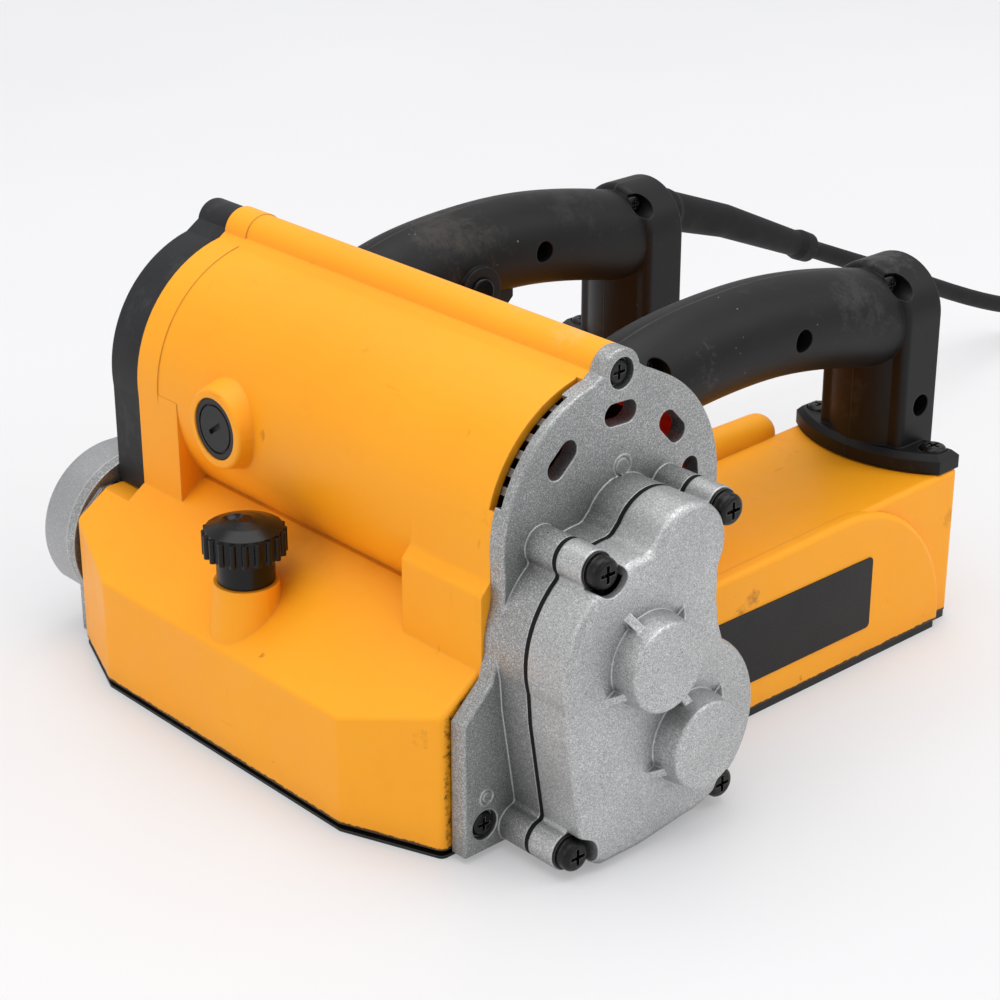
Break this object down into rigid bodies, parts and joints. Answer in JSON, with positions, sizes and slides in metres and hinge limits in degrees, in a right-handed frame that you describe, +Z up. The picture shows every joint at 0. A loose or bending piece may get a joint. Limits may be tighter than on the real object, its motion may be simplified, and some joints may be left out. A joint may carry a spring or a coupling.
{
  "type": "wall chaser",
  "caption": "Twin-handled wall chaser: transverse motor, side gearbox, toothed cutter discs between an adjustable front shoe and a fixed sole.",
  "frame": {"origin": "on the ground plane, mid-width of the body, straight below the cutter spindle axis", "axes": "+X towards the gearbox side, +Y rearwards towards the cable, +Z up"},
  "size_m": [0.271, 0.5355, 0.1564],
  "materials": {
    "matte_black": "textured",
    "orange": "satin moulded",
    "cast": "shot-blasted casting",
    "gasket": "matt",
    "black_steel": "black oxide",
    "steel": "machined",
    "sole": "black painted steel",
    "carbide": "ground",
    "copper": "copper",
    "lamination": "varnished laminations",
    "insulation": "red insulation",
    "fan": "dark moulded",
    "carbon": "graphite",
    "knob": "gloss",
    "rubber": "matt",
    "label": "matt film"
  },
  "bodies": {
    "machine": {"main_housing": "orange", "end_cap": "matte_black", "gear_housing": "cast", "gear_gasket": "gasket", "gear_cover": "cast", "gear_case_screws": "black_steel", "side_plate_screws": "black_steel", "ear_screws": "black_steel", "left_side_plate": "cast", "left_side_cover": "cast", "left_cover_screws": "black_steel", "rear_shoe": "sole", "rear_shoe_screws": "black_steel", "spindle_bearings": "steel", "intermediate_bearings": "steel", "motor_bearings": "steel", "stator_core": "lamination", "field_coils": "insulation", "air_baffle": "insulation", "near_handle_left": "matte_black", "near_handle_right": "matte_black", "far_handle_left": "matte_black", "far_handle_right": "matte_black", "handle_screws": "black_steel", "foot_bolts": "black_steel", "trigger_pin": "steel", "switch_module": "matte_black", "cable": "rubber", "cable_boot": "rubber", "cable_clamp": "matte_black", "dust_port": "matte_black", "dust_port_screws": "black_steel", "label_panel": "label", "brush_holders": "copper", "carbon_brushes": "carbon", "brush_springs": "steel", "brush_caps": "matte_black"},
    "spindle_set": {"spindle": "steel", "cutter_discs": "carbide", "cutter_spacers": "steel", "cutter_nut": "steel", "spindle_nut": "steel", "output_gear": "steel"},
    "intermediate": {"intermediate_shaft": "steel", "intermediate_gear": "steel", "intermediate_pinion": "steel"},
    "armature": {"armature_shaft": "steel", "armature_core": "lamination", "armature_windings": "copper", "commutator": "copper", "cooling_fan": "fan", "motor_pinion": "steel"},
    "front_shoe": {"front_shoe": "sole", "lifting_stud": "steel", "shoe_springs": "steel"},
    "knob": {"depth_knob": "knob", "knob_clip": "steel"},
    "trigger": {"trigger": "matte_black", "trigger_spring": "steel"},
    "lock_button": {"lock_button": "knob"}
  },
  "joints": [
    {"name": "armature_spin", "type": "hinge", "parent": "machine", "child": "armature", "pos_m": [0, -0.003, 0.101], "axis": [1, 0, 0], "continuous": true},
    {"name": "intermediate_spin", "type": "hinge", "parent": "machine", "child": "intermediate", "pos_m": [0.11, -0.01889, 0.06912], "axis": [1, 0, 0], "continuous": true},
    {"name": "spindle_spin", "type": "hinge", "parent": "machine", "child": "spindle_set", "pos_m": [0, 0, 0.035], "axis": [1, 0, 0], "continuous": true},
    {"name": "knob_turn", "type": "hinge", "parent": "machine", "child": "knob", "pos_m": [0, -0.0675, 0.06], "axis": [0, 0, 1], "range_deg": [0, 360.01]},
    {"name": "shoe_lift", "type": "slide", "parent": "machine", "child": "front_shoe", "axis": [0, 0, 1], "range_m": [0, 0.002], "deforming": ["shoe_springs"]},
    {"name": "trigger_pull", "type": "hinge", "parent": "machine", "child": "trigger", "pos_m": [-0.065, 0.06, 0.111], "axis": [1, 0, 0], "range_deg": [0, 8], "deforming": ["trigger_spring"]},
    {"name": "lock_push", "type": "slide", "parent": "machine", "child": "lock_button", "axis": [-1, 0, 0], "range_m": [0, 0.003]}
  ],
  "couplings": [
    {"joint": "intermediate_spin", "follows": "armature_spin", "ratio": -0.32558},
    {"joint": "spindle_spin", "follows": "armature_spin", "ratio": 0.15814},
    {"joint": "knob_turn", "follows": "shoe_lift", "rad_per_m": 3141.6}
  ]
}
